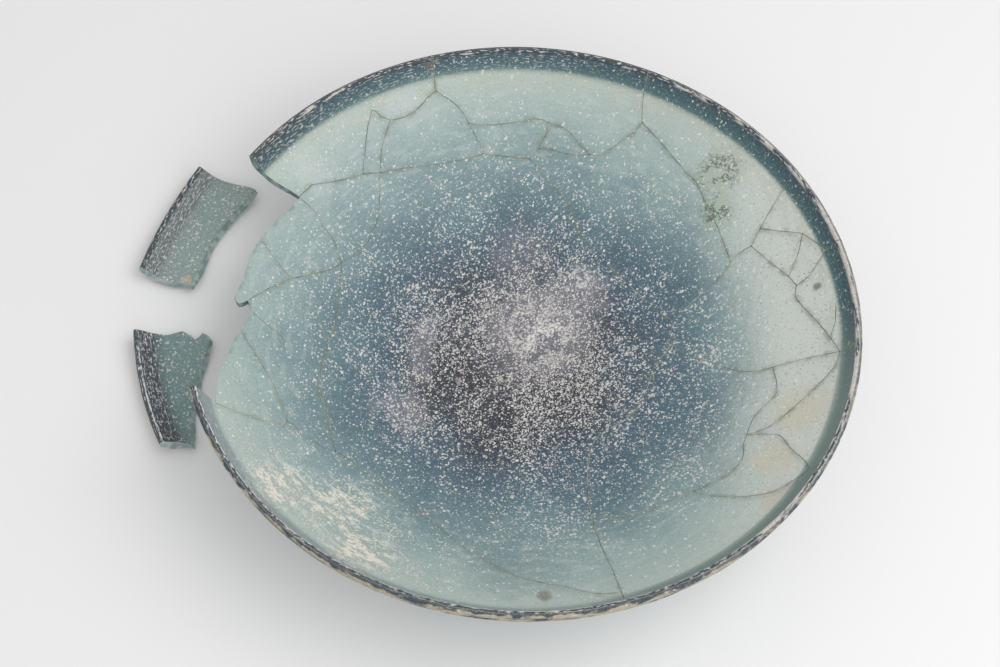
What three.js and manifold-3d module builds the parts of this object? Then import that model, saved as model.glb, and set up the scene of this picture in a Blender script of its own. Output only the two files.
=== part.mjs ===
// A shallow blown-glass bowl that was found broken and has been glued together again.
// Twenty-five sherds stand as a bowl on its foot ring. A stretch of the rim is still open,
// and the two rim sherds that fill it lie loose on the table beside the gap.
//
// Millimetres, Z up. Angles are measured on the plan of the bowl, anticlockwise from +X.

import * as THREE from 'three';
import { mergeVertices } from 'three/addons/utils/BufferGeometryUtils.js';
import Module from 'manifold-3d';

const wasm = await Module();
wasm.setup();

// Driving dimensions of the bowl
const rimRadius = 130;
const bowlHeight = 46;
const floorHeight = 3.2;
const wallThickness = 2.0;
const wallCurve = 2.45;

// The upright collar under the lip
const collarDepth = 7.0;
const collarInset = 5.8;
const collarFlare = 0.9;
const collarFace = 6.4;
const collarCorner = 1.0;
const lipThickness = 2.8;

// The wall thickens towards the collar, from this radius on
const wallSwell = 1.0;
const swellStart = 99;

// The foot ring
const footRadius = 43.5;
const footWidth = 3.0;
const footFlare = 1.2;

// The glue that parts each sherd from the next
const glueGap = 0.3;

// Facets round the bowl, under its floor, up its wall, round its lip, and to each bend
// of a break
const facetsRound = 80;
const facetsFloor = 3;
const facetsWall = 9;
const facetsLip = 4;
const facetsBend = 2;

const RADIAN = Math.PI / 180;

const collarRadius = rimRadius - collarInset;
const collarHeight = bowlHeight - collarDepth;


// Section of the bowl

// Height of the inner surface at a radius below the collar.
function innerHeight(radius) {
  return floorHeight + (collarHeight - floorHeight) * (radius / collarRadius) ** wallCurve;
}

// Slope of the inner surface as an angle.
function innerSlope(radius) {
  const rise = (collarHeight - floorHeight) * wallCurve / collarRadius;
  return Math.atan(rise * (radius / collarRadius) ** (wallCurve - 1));
}

// Point of the underside, square below a point of the inner surface.
function underside(radius) {
  const slope = innerSlope(radius);
  const swell = THREE.MathUtils.smoothstep(radius, swellStart, collarRadius);
  const thickness = wallThickness + wallSwell * swell;
  return new THREE.Vector2(
    radius + thickness * Math.sin(slope),
    innerHeight(radius) - thickness * Math.cos(slope),
  );
}

function steps(from, to, count) {
  return Array.from({ length: count + 1 }, (_, i) => from + (to - from) * i / count);
}

// The section runs from the axis out along the underside, up over the lip and back inside.
function bowlSection() {
  const section = [];
  const footInner = footRadius - footWidth / 2;
  const footOuter = footRadius + footWidth / 2;
  for (const radius of steps(0, footInner - footFlare, facetsFloor)) {
    section.push(underside(radius));
  }
  section.push(new THREE.Vector2(footInner, 0));
  section.push(new THREE.Vector2(footOuter, 0));
  for (const radius of steps(footOuter + footFlare, collarRadius, facetsWall)) {
    section.push(underside(radius));
  }

  const lipRadius = lipThickness / 2;
  const lipCentre = new THREE.Vector2(rimRadius - lipRadius, bowlHeight - lipRadius);
  const collar = new THREE.Path();
  const corner = section.at(-1);
  const cornerHeight = bowlHeight - collarFace;
  collar.moveTo(corner.x, corner.y);
  collar.quadraticCurveTo(
    rimRadius - collarFlare, cornerHeight - collarCorner,
    rimRadius - collarFlare, cornerHeight + collarCorner,
  );
  collar.lineTo(rimRadius, lipCentre.y);
  collar.absarc(lipCentre.x, lipCentre.y, lipRadius, 0, Math.PI, false);
  section.push(...collar.getPoints(facetsLip).slice(1));

  for (const radius of steps(collarRadius, 0, facetsWall)) {
    section.push(new THREE.Vector2(radius, innerHeight(radius)));
  }
  return section;
}


// Solids from closed geometries

function solidOf(geometry) {
  const plain = geometry.clone();
  plain.deleteAttribute('normal');
  plain.deleteAttribute('uv');
  const merged = mergeVertices(plain);
  const corners = merged.index.array;
  const triangles = [];
  for (let i = 0; i < corners.length; i += 3) {
    const [a, b, c] = corners.slice(i, i + 3);
    // On the axis of a lathe the outer facets shrink to a line, and those are left out.
    if (a !== b && b !== c && c !== a) triangles.push(a, b, c);
  }
  return new wasm.Manifold(new wasm.Mesh({
    numProp: 3,
    vertProperties: new Float32Array(merged.attributes.position.array),
    triVerts: new Uint32Array(triangles),
  }));
}

function geometryOf(solid) {
  const { vertProperties, triVerts } = solid.getMesh();
  const geometry = new THREE.BufferGeometry();
  geometry.setAttribute('position', new THREE.BufferAttribute(new Float32Array(vertProperties), 3));
  geometry.setIndex(new THREE.BufferAttribute(new Uint32Array(triVerts), 1));
  geometry.computeVertexNormals();
  return geometry;
}

const wholeBowl = solidOf(new THREE.LatheGeometry(bowlSection(), facetsRound).rotateX(Math.PI / 2));


// The break network. Each point is given by how far out it lies, in hundredths of the rim's
// radius, and by its angle in degrees.

// Where breaks reach the rim, as angles. The first and last of the left side are the two
// ends of the open stretch, and rimLoose is the break between the two loose sherds.
const rimJoints = {
  rimGapTop: 150.2,
  rimBackLeft: 108.4,
  rimBackRight: 68.3,
  rimRightTop: 34.8,
  rimRight: 16.2,
  rimSide: 355.2,
  rimLower: 329.8,
  rimFront: 288.1,
  rimGapFoot: 199.5,
  rimLoose: 174.8,
};

// Where breaks meet each other, or the edge of the gap
const junctions = {
  gapTop: [83.8, 148.2],
  edgeUpper: [85.8, 161.5],
  edgeLoose: [86.9, 177],
  edgeNotch: [83.1, 176.8],
  edgeMiddle: [83.8, 183.9],
  edgeLower: [93.8, 202.1],
  leftFork: [63.1, 154.4],
  leftSmallFork: [73.5, 166.6],
  leftCorner: [66.5, 218],
  triangleTip: [75.2, 206.6],
  stripLeft: [77.7, 132.5],
  stripFoot: [75.4, 128.6],
  stripHead: [87.5, 120.8],
  backLeftFork: [91.5, 109.7],
  backMiddleFork: [81.2, 104.2],
  backLeftFoot: [71.5, 101.5],
  backFoot: [69.6, 89.6],
  chipFoot: [72.8, 87.3],
  chipHead: [80.8, 85.8],
  chipRight: [73.8, 74.3],
  backRightFork: [87.3, 65.5],
  rightInnerFork: [71.9, 26],
  rightMiddleFork: [79.2, 26.7],
  rightUpperFork: [83.8, 29],
  rightOuterFork: [92.5, 22.5],
  rightRimFork: [95.4, 16.8],
  rightChipTop: [84.4, 15.6],
  rightChipFoot: [85.6, 12.8],
  sideFork: [94.4, 355.3],
  baseCorner: [49.2, 16.8],
  basePoint: [46.2, 5.5],
  sideInnerFork: [76.2, 354.3],
  lowerFork: [74.2, 335.5],
  lowerInnerFork: [71.5, 316],
  lowerRimFork: [95.8, 329.8],
  frontFork: [62.7, 291.3],
  frontRimFork: [92.7, 288.8],
};

// Bends of each break between its two ends. A break that isn't listed runs straight.
const bends = {
  'rimGapTop-gapTop': [[93.1, 149.8], [86.9, 148.6]],
  'gapTop-edgeUpper': [[83.8, 151.6], [84.6, 154.8]],
  'edgeUpper-edgeLoose': [[86.2, 166.4], [85.8, 172.1]],
  'edgeLoose-edgeNotch': [[85.4, 178.3]],
  'edgeNotch-edgeMiddle': [[81.5, 178.8], [82.3, 180.8]],
  'edgeMiddle-edgeLower': [[86.2, 187.5], [87.7, 190.9], [90.8, 195.1], [92.3, 198.5]],
  'edgeLower-rimGapFoot': [[96.2, 200.2]],
  'rimLoose-edgeLoose': [[96.9, 175.6], [92.3, 176.4], [88.5, 175.9]],
  'gapTop-leftFork': [[77.7, 148], [73.8, 149.3], [69.2, 150.4], [66.2, 152.1]],
  'gapTop-stripLeft': [[83.8, 144.2], [81.5, 140.8], [79.2, 136.8]],
  'stripFoot-backLeftFoot': [[73.8, 123.8], [71.5, 115.5], [70.8, 105.4]],
  'backLeftFoot-backFoot': [[70.8, 99.2], [70, 94]],
  'stripLeft-stripHead': [[81.5, 129.9], [85.4, 127.6], [91.9, 123.6], [89.2, 122.3]],
  'stripHead-backLeftFork': [[86.9, 117.6], [88.5, 113.6], [90, 111.9]],
  'stripHead-stripFoot': [[82.3, 124.7], [78.5, 126.9]],
  'stripFoot-leftFork': [[69.2, 132.5], [65.4, 135.5], [61.5, 142.6], [60.8, 148.5]],
  'backLeftFork-backMiddleFork': [[87.7, 106.9], [84.6, 105.1]],
  'backMiddleFork-backLeftFoot': [[76.2, 102.7]],
  'backMiddleFork-chipHead': [[80, 101.5], [80, 95.2], [81.5, 88.6]],
  'chipHead-chipRight': [[79.6, 81.5], [76.9, 78.3]],
  'chipHead-chipFoot': [[77.7, 85.7], [75.4, 86.7]],
  'chipFoot-chipRight': [[73.1, 84.4], [72.3, 80]],
  'chipRight-backRightFork': [[74.6, 71.3], [80, 68.3], [83.8, 66.2]],
  'backRightFork-rimBackRight': [[90.8, 66.5], [94.6, 67.4]],
  'backRightFork-rightInnerFork': [[83.8, 58.6], [80.8, 51.6], [80, 47.4], [76.9, 41.9], [74.6, 34.9]],
  'backFoot-baseCorner': [
    [63.8, 84.2], [57.7, 76.4], [51.5, 71.7], [46.9, 65.5], [43.8, 49.3], [43.8, 37.1], [46.2, 23.2],
  ],
  'basePoint-sideInnerFork': [[53.1, 0.5], [59.2, 357.5], [66.2, 354.2], [73.1, 353.7]],
  'sideInnerFork-sideFork': [[84.6, 355.2]],
  'basePoint-frontFork': [
    [41.5, 357.3], [40.8, 350.6], [40, 335.3], [37.7, 322.6], [36.2, 314.5], [39.2, 304.5],
    [53.1, 293.7],
  ],
  'frontFork-frontRimFork': [[72.3, 290.1], [83.1, 289.6]],
  'frontRimFork-leftCorner': [
    [91.5, 285], [86.2, 279.5], [82.3, 272.3], [78.5, 267.7], [73.1, 260.2], [68.5, 253.7],
    [64.6, 243.5], [63.8, 234.1], [64.6, 223],
  ],
  'leftCorner-leftFork': [
    [65.4, 213.7], [62.3, 204.9], [63.1, 197.5], [60, 188], [57.7, 177], [58.1, 168], [60.8, 159],
  ],
  'leftCorner-triangleTip': [[69.2, 215.9]],
  'leftFork-leftSmallFork': [[64.6, 158.4]],
  'leftSmallFork-edgeNotch': [[78.5, 171.8]],
  'leftSmallFork-edgeUpper': [[80.8, 163.6]],
  'triangleTip-edgeMiddle': [[75.4, 197.7], [77.7, 192.4], [81.5, 187]],
  'triangleTip-edgeLower': [[77.7, 207.9], [80.8, 206.3], [87.7, 204]],
  'rimRightTop-rightUpperFork': [[92.3, 32]],
  'rightMiddleFork-rightInnerFork': [[75.4, 27]],
  'rightInnerFork-baseCorner': [[65.4, 23.3], [60.8, 22.2]],
  'rightMiddleFork-rightChipTop': [[81.5, 20.8]],
  'rightChipFoot-sideFork': [[84.6, 9.8], [88.5, 3.6], [92.3, 358.1]],
  'rightUpperFork-rightOuterFork': [[89.2, 24.9]],
  'rightOuterFork-rightChipTop': [[89.2, 19.4], [86.9, 17.4]],
  'rightOuterFork-rightRimFork': [[94.6, 19.2]],
  'rightRimFork-rightChipFoot': [[93.1, 15.5], [89.2, 13.5]],
  'sideInnerFork-lowerFork': [[78.1, 349.4], [78.1, 346.4], [75.4, 343.5], [73.8, 339.5]],
  'lowerFork-lowerInnerFork': [[74.6, 332.6], [76.9, 328.6], [75.4, 322.6]],
  'sideFork-lowerFork': [[93.1, 352], [89.2, 348.5], [83.8, 343.1], [79.2, 338.3]],
  'lowerFork-lowerRimFork': [[80, 336.5], [83.8, 336.3], [87.7, 333.7], [93.1, 331.5]],
  'lowerRimFork-lowerInnerFork': [[93.1, 326], [90, 322.8], [83.1, 319.5], [75.4, 316.9]],
  'lowerInnerFork-frontFork': [[68.5, 308.7], [66.2, 300.8]],
};

// Each sherd is the region inside a loop of junctions. The colour is that of its glass:
// almost black-blue at the foot, paler up the wall.
const sherds = {
  foot_sherd: {
    colour: 0x3d4d5c,
    loop: [
      'basePoint', 'baseCorner', 'backFoot', 'backLeftFoot', 'stripFoot', 'leftFork',
      'leftCorner', 'frontRimFork', 'frontFork',
    ],
  },
  front_left_rim_sherd: {
    colour: 0x7f9ba3,
    loop: ['frontRimFork', 'rimFront', 'rimGapFoot', 'edgeLower', 'triangleTip', 'leftCorner'],
  },
  left_triangle_sherd: {
    colour: 0x92aab0,
    loop: ['edgeMiddle', 'edgeLower', 'triangleTip'],
  },
  left_middle_sherd: {
    colour: 0x87a4ac,
    loop: [
      'edgeNotch', 'edgeMiddle', 'triangleTip', 'leftCorner', 'leftFork', 'leftSmallFork',
    ],
  },
  left_upper_sherd: {
    colour: 0x93adb2,
    loop: ['gapTop', 'leftFork', 'leftSmallFork', 'edgeUpper'],
  },
  left_point_sherd: {
    colour: 0x98b0b4,
    loop: ['edgeUpper', 'edgeLoose', 'edgeNotch', 'leftSmallFork'],
  },
  upper_left_sherd: {
    colour: 0x86a3ab,
    loop: ['gapTop', 'stripLeft', 'stripFoot', 'leftFork'],
  },
  back_left_rim_sherd: {
    colour: 0x93aeb2,
    loop: [
      'rimGapTop', 'gapTop', 'stripLeft', 'stripHead', 'backLeftFork', 'rimBackLeft',
    ],
  },
  back_strip_sherd: {
    colour: 0x93aeb2,
    loop: ['stripLeft', 'stripHead', 'stripFoot'],
  },
  back_wall_sherd: {
    colour: 0x8faaae,
    loop: ['stripHead', 'backLeftFork', 'backMiddleFork', 'backLeftFoot', 'stripFoot'],
  },
  back_rim_sherd: {
    colour: 0x9ab1b3,
    loop: [
      'backLeftFork', 'rimBackLeft', 'rimBackRight', 'backRightFork', 'chipRight',
      'chipHead', 'backMiddleFork',
    ],
  },
  back_band_sherd: {
    colour: 0x93adb0,
    loop: ['backMiddleFork', 'chipHead', 'chipFoot', 'backFoot', 'backLeftFoot'],
  },
  back_chip_sherd: {
    colour: 0x93adb0,
    loop: ['chipHead', 'chipRight', 'chipFoot'],
  },
  upper_right_sherd: {
    colour: 0x7f9dab,
    loop: [
      'backFoot', 'chipFoot', 'chipRight', 'backRightFork', 'rightInnerFork', 'baseCorner',
    ],
  },
  upper_right_rim_sherd: {
    colour: 0x9cb3b3,
    loop: [
      'backRightFork', 'rimBackRight', 'rimRightTop', 'rightUpperFork', 'rightMiddleFork',
      'rightInnerFork',
    ],
  },
  right_upper_rim_sherd: {
    colour: 0xa6bbb8,
    loop: ['rimRightTop', 'rimRight', 'rightRimFork', 'rightOuterFork', 'rightUpperFork'],
  },
  right_upper_sherd: {
    colour: 0xa6bbb8,
    loop: ['rightUpperFork', 'rightOuterFork', 'rightChipTop', 'rightMiddleFork'],
  },
  right_chip_sherd: {
    colour: 0xacc0bc,
    loop: ['rightOuterFork', 'rightRimFork', 'rightChipFoot', 'rightChipTop'],
  },
  right_rim_sherd: {
    colour: 0xafc2bd,
    loop: ['rightRimFork', 'rimRight', 'rimSide', 'sideFork', 'rightChipFoot'],
  },
  right_wall_sherd: {
    colour: 0x84a2ae,
    loop: [
      'rightMiddleFork', 'rightChipTop', 'rightChipFoot', 'sideFork', 'sideInnerFork',
      'basePoint', 'baseCorner', 'rightInnerFork',
    ],
  },
  right_lower_sherd: {
    colour: 0xb0c0b8,
    loop: ['sideInnerFork', 'sideFork', 'lowerFork'],
  },
  right_lower_rim_sherd: {
    colour: 0xb2c1b9,
    loop: ['sideFork', 'rimSide', 'rimLower', 'lowerRimFork', 'lowerFork'],
  },
  lower_chip_sherd: {
    colour: 0xa9bcb6,
    loop: ['lowerFork', 'lowerRimFork', 'lowerInnerFork'],
  },
  lower_right_sherd: {
    colour: 0x6f8f9e,
    loop: ['basePoint', 'sideInnerFork', 'lowerFork', 'lowerInnerFork', 'frontFork'],
  },
  front_right_rim_sherd: {
    colour: 0x93abad,
    loop: [
      'lowerRimFork', 'rimLower', 'rimFront', 'frontRimFork', 'frontFork', 'lowerInnerFork',
    ],
  },
};

// The two sherds of the open stretch lie inner side up. Each has its broken-off place on
// the rim as a loop, the angle at its middle, and the turn and place in which it lies on the
// table. The place is measured from the axis of the bowl to the point of the sherd's inner
// face that is at the reference radius and at its middle.
const looseReference = 116;
const looseTilt = 35;
const looseSherds = {
  loose_upper_rim_sherd: {
    colour: 0x76929a,
    loop: ['rimGapTop', 'gapTop', 'edgeUpper', 'edgeLoose', 'rimLoose'],
    middle: 162.5,
    turn: 162,
    place: [-134, 56],
  },
  loose_lower_rim_sherd: {
    colour: 0x6f8a8e,
    loop: ['rimLoose', 'edgeLoose', 'edgeNotch', 'edgeMiddle', 'edgeLower', 'rimGapFoot'],
    middle: 187.2,
    turn: 198.8,
    place: [-132, -16.4],
  },
};


// Outlines on the plan

// How far the cutting outlines pass outside the rim, above the lip and below the foot, and
// their step along the rim in degrees
const outlineSpill = 6;
const outlineStep = 12;

function onPlan(radius, degrees) {
  return new THREE.Vector2(radius, 0).rotateAround(new THREE.Vector2(), degrees * RADIAN);
}

function networkPoint([hundredths, degrees]) {
  return onPlan(rimRadius * hundredths / 100, degrees);
}

function junctionPoint(name) {
  if (name in rimJoints) return onPlan(rimRadius + outlineSpill, rimJoints[name]);
  return networkPoint(junctions[name]);
}

// Outside the rim an outline follows the rim in steps, the short way round.
function rimStretch(from, to) {
  const turn = THREE.MathUtils.euclideanModulo(rimJoints[to] - rimJoints[from] + 180, 360) - 180;
  const count = Math.ceil(Math.abs(turn) / outlineStep);
  return steps(rimJoints[from], rimJoints[from] + turn, count)
    .map((angle) => onPlan(rimRadius + outlineSpill, angle));
}

// A break is a smooth curve through its bends, the same from both sides.
function breakCurve(from, to) {
  const forward = bends[`${from}-${to}`];
  const backward = bends[`${to}-${from}`];
  const between = forward ?? backward?.toReversed() ?? [];
  const points = between.map(networkPoint);
  const curve = new THREE.SplineCurve([junctionPoint(from), ...points, junctionPoint(to)]);
  return curve.getPoints(between.length ? facetsBend * (between.length + 1) : 1);
}

function loopOutline(loop) {
  return loop.flatMap((from, i) => {
    const to = loop[(i + 1) % loop.length];
    const alongRim = from in rimJoints && to in rimJoints;
    const stretch = alongRim ? rimStretch(from, to) : breakCurve(from, to);
    return stretch.slice(0, -1);
  });
}

// Moves every side of an outline inwards by the same distance.
function inset(outline, distance) {
  const points = THREE.ShapeUtils.isClockWise(outline) ? outline.toReversed() : outline;
  return points.map((point, i) => {
    const before = points.at(i - 1);
    const after = points[(i + 1) % points.length];
    const arriving = point.clone().sub(before).normalize();
    const leaving = after.clone().sub(point).normalize();
    const inward = new THREE.Vector2(-arriving.y - leaving.y, arriving.x + leaving.x).normalize();
    const reach = distance / Math.sqrt((1 + arriving.dot(leaving)) / 2);
    return point.clone().addScaledVector(inward, reach);
  });
}

// The solid of one sherd: the part of the bowl that stands over its outline.
function sherdSolid(loop) {
  const shape = new THREE.Shape(inset(loopOutline(loop), glueGap / 2));
  const depth = bowlHeight + 2 * outlineSpill;
  const column = new THREE.ExtrudeGeometry(shape, { depth, bevelEnabled: false });
  column.translate(0, 0, -outlineSpill);
  return wholeBowl.intersect(solidOf(column));
}

function glass(colour) {
  return new THREE.MeshStandardMaterial({ color: colour, roughness: 0.35, metalness: 0 });
}


// The glued bowl

const bowl = new THREE.Group();
for (const [name, { colour, loop }] of Object.entries(sherds)) {
  const mesh = new THREE.Mesh(geometryOf(sherdSolid(loop)), glass(colour));
  mesh.name = name;
  bowl.add(mesh);
}


// The loose sherds, each tipped so that its wall lies flat, then turned and let down
// until it touches the table

function lieDown(geometry, { middle, turn, place }) {
  geometry.rotateZ(-middle * RADIAN);
  geometry.translate(-looseReference, 0, -innerHeight(looseReference));
  geometry.rotateY(looseTilt * RADIAN);
  geometry.rotateZ(turn * RADIAN);
  geometry.computeBoundingBox();
  geometry.translate(...place, -geometry.boundingBox.min.z);
  return geometry;
}

for (const [name, sherd] of Object.entries(looseSherds)) {
  const geometry = lieDown(geometryOf(sherdSolid(sherd.loop)), sherd);
  const mesh = new THREE.Mesh(geometry, glass(sherd.colour));
  mesh.name = name;
  bowl.add(mesh);
}


// The origin is on the table, under the middle of all the pieces together
const extent = new THREE.Box3().setFromObject(bowl);
const centre = extent.getCenter(new THREE.Vector3());
bowl.position.set(-centre.x, -centre.y, -extent.min.z);

const model = new THREE.Group();
model.add(bowl);

export default model;
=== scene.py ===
# %% [markdown]
# # A broken glass bowl, glued together again
#
# The real object is a shallow blown-glass bowl, 26 cm across, that was found in pieces.
# Twenty-five sherds stand glued together on their foot ring. A stretch of the rim is still
# open on the left, and the two rim sherds that fill it lie loose beside it.
#
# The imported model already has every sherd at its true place, but with straight facets. Here
# each sherd is made again as fine weathered glass: one sheet, cut along the breaks and bent
# onto the section of the bowl, so that all the sherds still belong to one blown vessel.

import math

import bmesh
import bpy
import numpy as np
from mathutils import Matrix, Vector, geometry, kdtree, noise


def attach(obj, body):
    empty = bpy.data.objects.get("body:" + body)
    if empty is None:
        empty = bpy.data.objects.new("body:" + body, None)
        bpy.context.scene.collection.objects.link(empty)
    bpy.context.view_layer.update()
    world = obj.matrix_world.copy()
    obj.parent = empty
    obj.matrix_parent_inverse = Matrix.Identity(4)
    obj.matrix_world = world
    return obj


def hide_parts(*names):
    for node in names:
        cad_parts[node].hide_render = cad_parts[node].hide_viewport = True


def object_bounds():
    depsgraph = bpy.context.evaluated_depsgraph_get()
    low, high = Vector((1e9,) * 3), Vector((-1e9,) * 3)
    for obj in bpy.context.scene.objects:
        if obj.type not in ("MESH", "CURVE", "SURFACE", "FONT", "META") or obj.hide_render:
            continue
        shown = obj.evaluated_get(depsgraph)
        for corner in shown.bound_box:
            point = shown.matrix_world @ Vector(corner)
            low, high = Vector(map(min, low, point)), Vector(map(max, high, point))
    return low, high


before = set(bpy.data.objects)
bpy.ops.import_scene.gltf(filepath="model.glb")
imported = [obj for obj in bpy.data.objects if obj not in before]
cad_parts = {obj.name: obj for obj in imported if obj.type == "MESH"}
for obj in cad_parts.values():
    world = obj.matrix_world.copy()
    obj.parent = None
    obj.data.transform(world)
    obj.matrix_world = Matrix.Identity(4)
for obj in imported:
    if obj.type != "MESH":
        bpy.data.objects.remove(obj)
cad_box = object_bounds()
print("CAD nodes:", len(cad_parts))

# %% [markdown]
# ## Sizes
#
# These are the named sizes of the solids, repeated in metres, because this script can't read
# the part's source. A print below compares the foot ring's radius with the model, so a slip
# there would show.

# %% Name the sizes of the bowl
MM = 0.001
rim_radius = 130 * MM
bowl_height = 46 * MM
floor_height = 3.2 * MM
wall_thickness = 2.0 * MM
wall_curve = 2.45

collar_depth = 7.0 * MM
collar_inset = 5.8 * MM
collar_flare = 0.9 * MM
collar_face = 6.4 * MM
collar_corner = 1.0 * MM
lip_thickness = 2.8 * MM

wall_swell = 1.0 * MM
swell_start = 99 * MM

foot_radius = 43.5 * MM
foot_width = 3.0 * MM
foot_flare = 1.2 * MM

collar_radius = rim_radius - collar_inset
collar_height = bowl_height - collar_depth
lip_radius = lip_thickness / 2
crest_radius = rim_radius - lip_radius


# %% Find the axis of the bowl from its foot ring
def corners_of(node):
    return np.array([vertex.co[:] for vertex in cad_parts[node].data.vertices])


foot_corners = corners_of("foot_sherd")
foot_face = foot_corners[foot_corners[:, 2] < 0.01 * MM]
bowl_axis = Vector((*(foot_face[:, :2].min(0) + foot_face[:, :2].max(0)) / 2, 0))
print("bowl axis in mm:", [round(x / MM, 2) for x in bowl_axis])
print("foot radius in mm:", round(np.ptp(foot_face[:, 0]) / 2 / MM, 2),
      "against", (foot_radius + foot_width / 2) / MM)

# %% [markdown]
# ## The section
#
# A blown bowl is round, so its whole shape is in one section: the line of its inner face,
# from the axis up to the crest of the lip, and the line of its outer face. The collar meets
# the wall in a soft crease, which the glassmaker's tool leaves.


# %% Draw the inner line and the outer line
def inner_height(radius):
    return floor_height + (collar_height - floor_height) * (radius / collar_radius) ** wall_curve


def inner_slope(radius):
    rise = (collar_height - floor_height) * wall_curve / collar_radius
    return np.arctan(rise * (radius / collar_radius) ** (wall_curve - 1))


def underside(radius):
    """The outer face of the wall, which stands a wall's thickness off the inner face."""
    slope = inner_slope(radius)
    swell = np.clip((radius - swell_start) / (collar_radius - swell_start), 0, 1)
    thickness = wall_thickness + wall_swell * swell * swell * (3 - 2 * swell)
    across = radius + thickness * np.sin(slope)
    up = inner_height(radius) - thickness * np.cos(slope)
    return np.column_stack((across, up))


corner_points, lip_points = 8, 9
section_step = 0.2 * MM


def rounded(start, corner, end):
    """Points of a soft corner, from start to end."""
    t = np.linspace(0, 1, corner_points)[:, None]
    start, corner, end = (np.array(p) for p in (start, corner, end))
    return (1 - t) ** 2 * start + 2 * t * (1 - t) * corner + t * t * end


def towards(point, other, distance):
    """The place on the way from one point to another, after the given distance."""
    point, other = np.array(point), np.array(other)
    return point + (other - point) * distance / np.linalg.norm(other - point)


def quarter_lip(first, last):
    """A quarter of the round lip, between two angles."""
    turns = np.radians(np.linspace(first, last, lip_points))
    return np.column_stack((
        crest_radius + lip_radius * np.cos(turns),
        bowl_height - lip_radius + lip_radius * np.sin(turns),
    ))


def inner_line():
    """The floor and the wall, the crease, the collar, and the lip up to its crest."""
    crease = 1.8 * MM
    radii = np.linspace(0, collar_radius - crease, 200)
    wall = np.column_stack((radii, inner_height(radii)))
    lip = quarter_lip(180, 90)
    corner = (collar_radius, collar_height)
    collar_start = towards(corner, lip[0], crease)
    return np.vstack((wall[:-1], rounded(wall[-1], corner, collar_start), lip))


def outer_line():
    """Under the floor, round the foot ring, up the wall and the face, and over the lip."""
    inside, outside = foot_radius - foot_width / 2, foot_radius + foot_width / 2
    under_foot = underside(np.linspace(0, inside - foot_flare, 60))
    wall = underside(np.linspace(outside + foot_flare, collar_radius, 160))
    soft = 0.5 * MM
    inner_edge = rounded(
        towards((inside, 0), under_foot[-1], soft), (inside, 0), (inside + soft, 0))
    outer_edge = rounded((outside - soft, 0), (outside, 0), towards((outside, 0), wall[0], soft))
    face = rim_radius - collar_flare
    corner_height = bowl_height - collar_face
    corner = rounded(wall[-1], (face, corner_height - collar_corner),
                     (face, corner_height + collar_corner))
    return np.vstack((under_foot, inner_edge, outer_edge, wall, corner[1:], quarter_lip(0, 90)))


def lengths_along(line):
    steps = np.linalg.norm(np.diff(line, axis=0), axis=1)
    return np.concatenate(([0], np.cumsum(steps)))


def with_even_steps(line):
    lengths = lengths_along(line)
    places = np.linspace(0, lengths[-1], round(lengths[-1] / section_step) + 1)
    return np.column_stack([np.interp(places, lengths, line[:, i]) for i in range(2)])


inner_section = with_even_steps(inner_line())
outer_section = with_even_steps(outer_line())
print("inner line in mm:", round(lengths_along(inner_section)[-1] / MM, 1))
print("outer line in mm:", round(lengths_along(outer_section)[-1] / MM, 1))


# %% Keep each line as a curve that Geometry Nodes can sample
def placed(name, data):
    """A new object in the scene."""
    made = bpy.data.objects.new(name, data)
    bpy.context.scene.collection.objects.link(made)
    return made


def section_curve(name, section):
    curve = bpy.data.curves.new(name, "CURVE")
    curve.dimensions = "3D"
    spline = curve.splines.new("POLY")
    spline.points.add(len(section) - 1)
    places = np.zeros((len(section), 4))
    places[:, 0], places[:, 2], places[:, 3] = section[:, 0], section[:, 1], 1
    spline.points.foreach_set("co", places.ravel())
    return placed(name, curve)


inner_curve = section_curve("inner_section", inner_section)
outer_curve = section_curve("outer_section", outer_section)

# %% [markdown]
# ## The flat sheet
#
# To cut a sherd, the bowl is thought of as a flat round sheet. Its radius is the plan radius
# on the wall, and goes on along the inner face up the collar to the crest of the lip. Both
# faces share the sheet, so a break goes through the glass from one face to the other.

# %% Relate the flat sheet to the two lines
inner_lengths = lengths_along(inner_section)
outer_lengths = lengths_along(outer_section)
wall_end = 120 * MM
past_wall = inner_section[:, 0] > wall_end
length_at_wall_end = np.interp(wall_end, inner_section[:, 0], inner_lengths)
sheet_radii = np.where(
    past_wall, wall_end + inner_lengths - length_at_wall_end, inner_section[:, 0])
sheet_radius = sheet_radii[-1]
outer_wall = outer_section[:, 0] < wall_end


def sheet_from_plan(radius):
    return np.interp(radius, inner_section[:, 0], sheet_radii)


def along_inner(radius):
    return np.interp(radius, sheet_radii, inner_lengths / inner_lengths[-1])


def along_outer(radius):
    radii = np.append(outer_section[outer_wall, 0], sheet_radius)
    lengths = np.append(outer_lengths[outer_wall], outer_lengths[-1])
    return np.interp(radius, radii, lengths / outer_lengths[-1])


print("sheet radius in mm:", round(sheet_radius / MM, 2))

# %% [markdown]
# ## The loose sherds' places
#
# The two loose sherds lie on the table, inner face up, tipped so that their wall is flat. To
# cut them from the same sheet they are taken back to their broken-off place, cut, bent, and
# laid down again. How high each lies is found from its lip, whose crest is the bowl's height.

# %% Name how the loose sherds lie
loose_reference = 116 * MM
loose_tilt = math.radians(35)
loose_places = {
    "loose_upper_rim_sherd": {"middle": 162.5, "turn": 162, "place": (-134 * MM, 56 * MM)},
    "loose_lower_rim_sherd": {"middle": 187.2, "turn": 198.8, "place": (-132 * MM, -16.4 * MM)},
}


def lying_down(middle, turn, place):
    """The matrix from the sherd's place in the whole bowl to the table, before it is lifted."""
    return (
        Matrix.Translation((*place, 0))
        @ Matrix.Rotation(math.radians(turn), 4, "Z")
        @ Matrix.Rotation(loose_tilt, 4, "Y")
        @ Matrix.Translation((-loose_reference, 0, -inner_height(loose_reference)))
        @ Matrix.Rotation(math.radians(-middle), 4, "Z")
    )


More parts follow.
